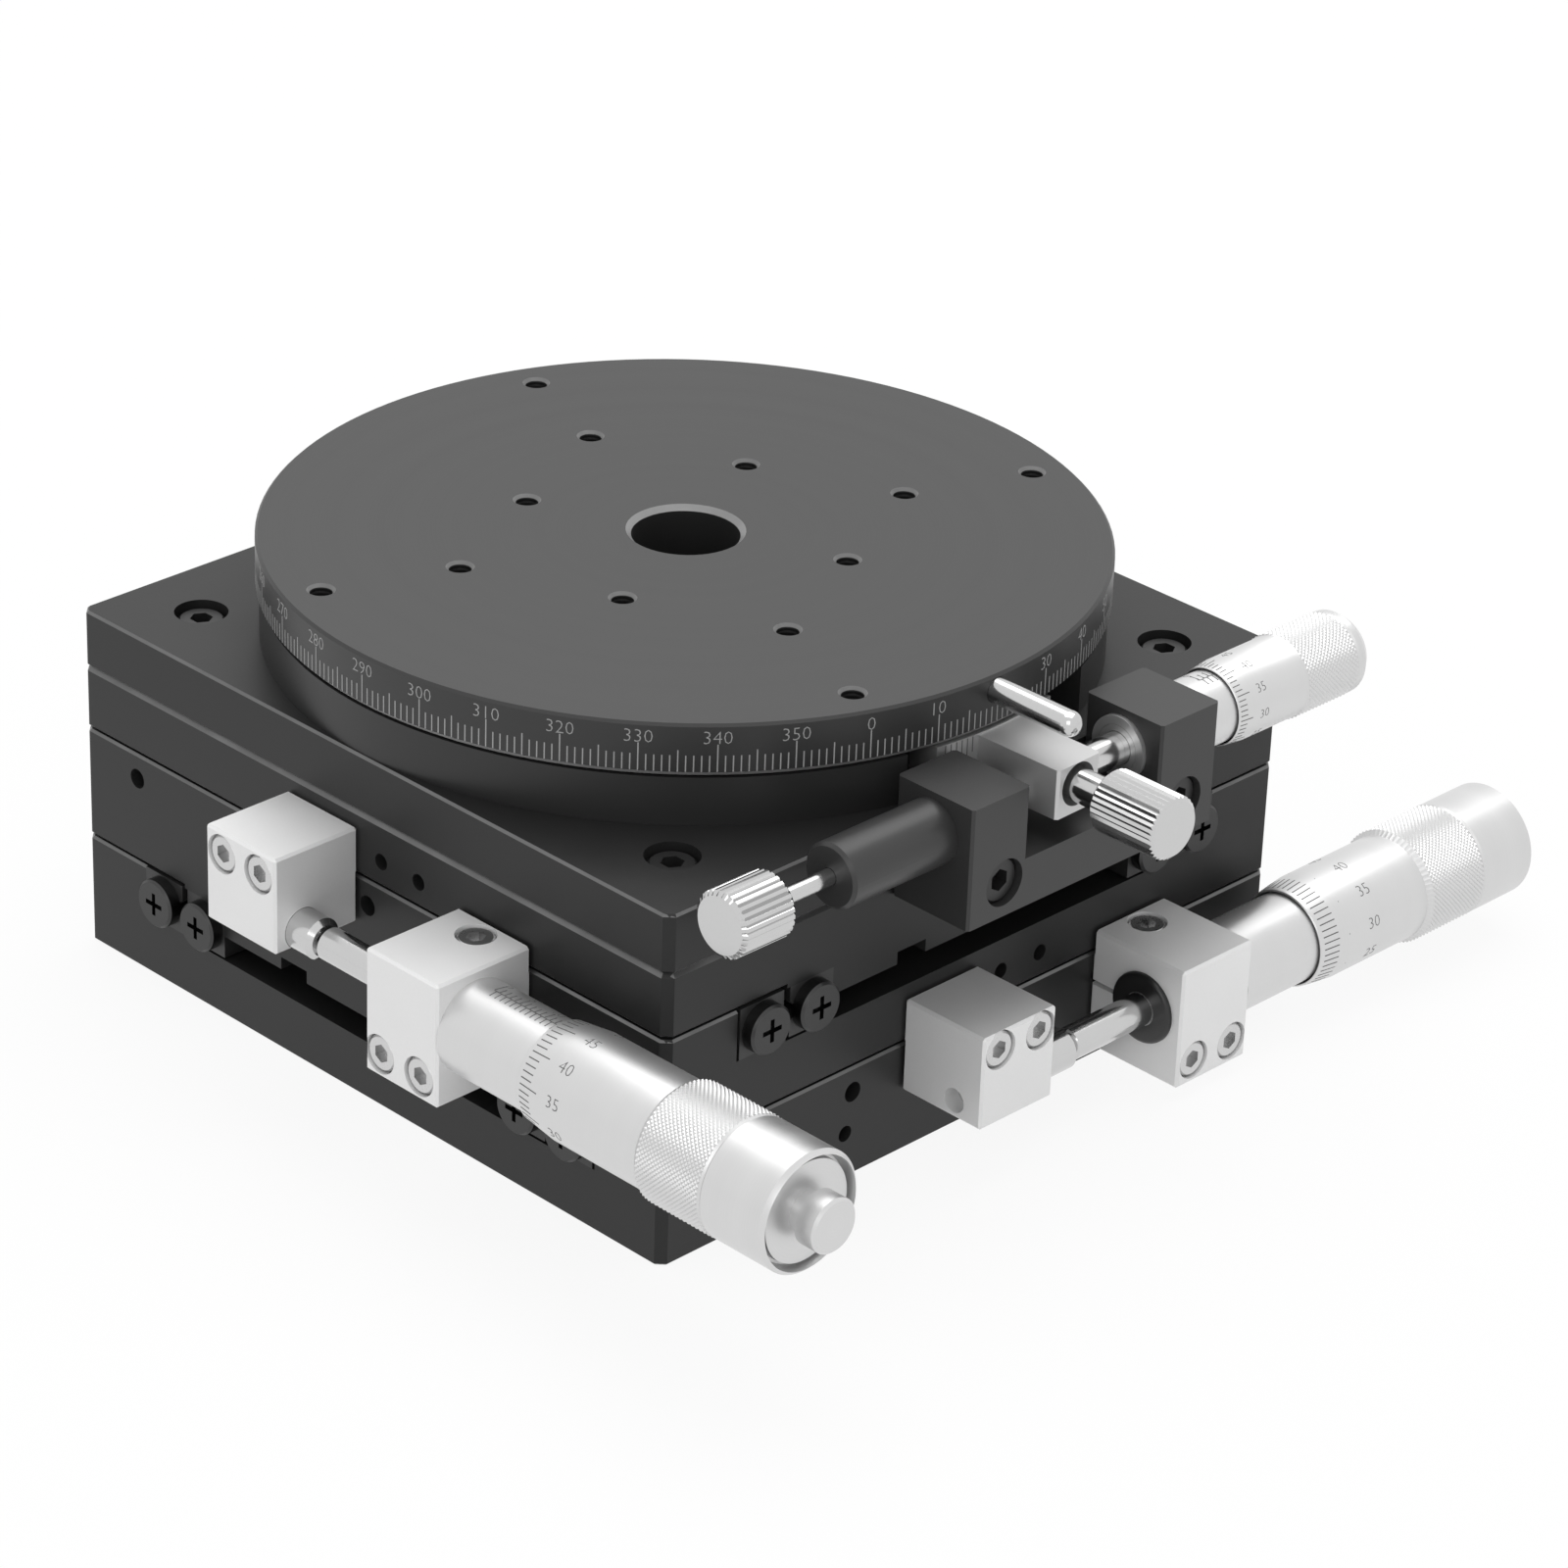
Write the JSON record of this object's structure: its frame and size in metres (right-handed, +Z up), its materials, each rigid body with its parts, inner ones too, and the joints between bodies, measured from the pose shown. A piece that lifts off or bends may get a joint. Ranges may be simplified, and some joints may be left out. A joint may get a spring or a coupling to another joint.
{
  "type": "multi-axis positioning stage",
  "caption": "Manual XY and rotation stage: crossed-roller slides driven by side micrometer heads under a graduated round table with fine rotation by a tangent arm.",
  "frame": {"origin": "middle of the base plate's underside, under the dial's axis", "axes": "+Z up along the dial's axis; +X along the upper slide towards its micrometer head; +Y along the lower slide towards its micrometer head"},
  "size_m": [0.1697, 0.1894, 0.071],
  "materials": {
    "black_anodised": "satin black anodised",
    "silver_anodised": "matte silver anodised",
    "satin_chrome": "satin chrome",
    "polished_steel": "polished",
    "rail_steel": "ground, dark",
    "black_screw": "black oxide",
    "bright_screw": "bright",
    "brass": "turned",
    "spring_steel": "drawn"
  },
  "bodies": {
    "base": {"base_plate": "black_anodised", "y_outer_rails": "rail_steel", "base_rail_screws": "black_screw", "y_holder_block": "silver_anodised", "base_block_screws": "bright_screw", "y_head_sleeve": "satin_chrome", "y_stem_nut": "black_screw", "y_return_spring": "spring_steel"},
    "middle_carriage": {"middle_plate": "black_anodised", "y_inner_rails": "rail_steel", "x_outer_rails": "rail_steel", "middle_rail_screws": "black_screw", "y_contact_block": "silver_anodised", "y_anvil": "polished_steel", "x_holder_block": "silver_anodised", "middle_block_screws": "bright_screw", "x_head_sleeve": "satin_chrome", "x_stem_nut": "black_screw", "x_return_spring": "spring_steel"},
    "upper_carriage": {"upper_plate": "black_anodised", "x_inner_rails": "rail_steel", "upper_rail_screws": "black_screw", "x_contact_block": "silver_anodised", "x_anvil": "polished_steel", "upper_block_screws": "bright_screw", "rotary_plate": "black_anodised", "rotary_plate_screws": "black_screw", "drum_ring": "black_anodised", "bearing_retainer": "rail_steel", "retainer_screws": "black_screw", "bearing_outer_race": "polished_steel", "bearing_rollers": "polished_steel", "fine_bracket": "black_anodised", "bracket_screws": "bright_screw", "plunger_housing": "black_anodised", "plunger_spring": "spring_steel", "fine_head_bush": "satin_chrome", "fine_head_sleeve": "satin_chrome"},
    "fine_ring": {"clamp_ring": "black_anodised", "tangent_arm": "silver_anodised", "lock_shoe": "brass"},
    "lock_screw": {"lock_knob": "satin_chrome"},
    "dial": {"dial_plate": "black_anodised", "bearing_inner_race": "polished_steel", "hub_ring": "rail_steel", "dial_handle_pin": "polished_steel"},
    "plunger": {"plunger_rod": "polished_steel", "plunger_knob": "satin_chrome"},
    "y_cage_set": {"y_cages": "brass", "y_rollers": "polished_steel"},
    "x_cage_set": {"x_cages": "brass", "x_rollers": "polished_steel"},
    "y_spindle": {"y_head_spindle": "polished_steel"},
    "y_thimble": {"y_head_thimble": "satin_chrome", "y_head_button": "satin_chrome"},
    "x_spindle": {"x_head_spindle": "polished_steel"},
    "x_thimble": {"x_head_thimble": "satin_chrome", "x_head_button": "satin_chrome"},
    "fine_spindle": {"fine_head_spindle": "polished_steel"},
    "fine_thimble": {"fine_head_thimble": "satin_chrome"}
  },
  "joints": [
    {"name": "y_slide", "type": "slide", "parent": "base", "child": "middle_carriage", "axis": [0, 1, 0], "range_m": [-0.0125, 0.0125], "deforming": ["y_return_spring"]},
    {"name": "x_slide", "type": "slide", "parent": "middle_carriage", "child": "upper_carriage", "axis": [1, 0, 0], "range_m": [-0.0125, 0.0125], "deforming": ["x_return_spring"]},
    {"name": "y_cage_slide", "type": "slide", "parent": "base", "child": "y_cage_set", "axis": [0, 1, 0], "range_m": [-0.00625, 0.00625]},
    {"name": "x_cage_slide", "type": "slide", "parent": "middle_carriage", "child": "x_cage_set", "axis": [1, 0, 0], "range_m": [-0.00625, 0.00625]},
    {"name": "y_spindle_slide", "type": "slide", "parent": "base", "child": "y_spindle", "axis": [0, 1, 0], "range_m": [-0.0125, 0.0125]},
    {"name": "x_spindle_slide", "type": "slide", "parent": "middle_carriage", "child": "x_spindle", "axis": [1, 0, 0], "range_m": [-0.0125, 0.0125]},
    {"name": "y_thimble_spin", "type": "hinge", "parent": "y_spindle", "child": "y_thimble", "pos_m": [0.0728, 0.08, 0.0131], "axis": [0, 1, 0], "range_deg": [-9000, 9000]},
    {"name": "x_thimble_spin", "type": "hinge", "parent": "x_spindle", "child": "x_thimble", "pos_m": [0.08, -0.0728, 0.0311], "axis": [1, 0, 0], "range_deg": [-9000, 9000]},
    {"name": "fine_rotation", "type": "hinge", "parent": "upper_carriage", "child": "fine_ring", "pos_m": [0, 0, 0.059], "axis": [0, 0, 1], "range_deg": [-2, 8]},
    {"name": "fine_spindle_slide", "type": "slide", "parent": "upper_carriage", "child": "fine_spindle", "axis": [0, 1, 0], "range_m": [-0.00243, 0.0097]},
    {"name": "fine_thimble_spin", "type": "hinge", "parent": "fine_spindle", "child": "fine_thimble", "pos_m": [0.0694, 0.045, 0.056], "axis": [0, 1, 0], "range_deg": [-1745, 6980]},
    {"name": "plunger_slide", "type": "slide", "parent": "upper_carriage", "child": "plunger", "axis": [0, 1, 0], "range_m": [-0.00243, 0.0097], "deforming": ["plunger_spring"]},
    {"name": "dial_rotation", "type": "hinge", "parent": "fine_ring", "child": "dial", "pos_m": [0, 0, 0.067], "axis": [0, 0, 1], "continuous": true},
    {"name": "lock_turn", "type": "hinge", "parent": "fine_ring", "child": "lock_screw", "pos_m": [0.089, 0.0017, 0.059], "axis": [1, 0, 0], "range_deg": [0, 360]}
  ],
  "couplings": [
    {"joint": "x_thimble_spin", "follows": "x_slide", "rad_per_m": 12566},
    {"joint": "x_spindle_slide", "follows": "x_slide", "ratio": 1},
    {"joint": "x_cage_slide", "follows": "x_slide", "ratio": 0.5},
    {"joint": "y_thimble_spin", "follows": "y_slide", "rad_per_m": 12566},
    {"joint": "y_spindle_slide", "follows": "y_slide", "ratio": 1},
    {"joint": "y_cage_slide", "follows": "y_slide", "ratio": 0.5},
    {"joint": "fine_thimble_spin", "follows": "fine_rotation", "ratio": 872},
    {"joint": "fine_spindle_slide", "follows": "fine_rotation", "m_per_rad": 0.0694},
    {"joint": "plunger_slide", "follows": "fine_rotation", "m_per_rad": 0.0694}
  ]
}
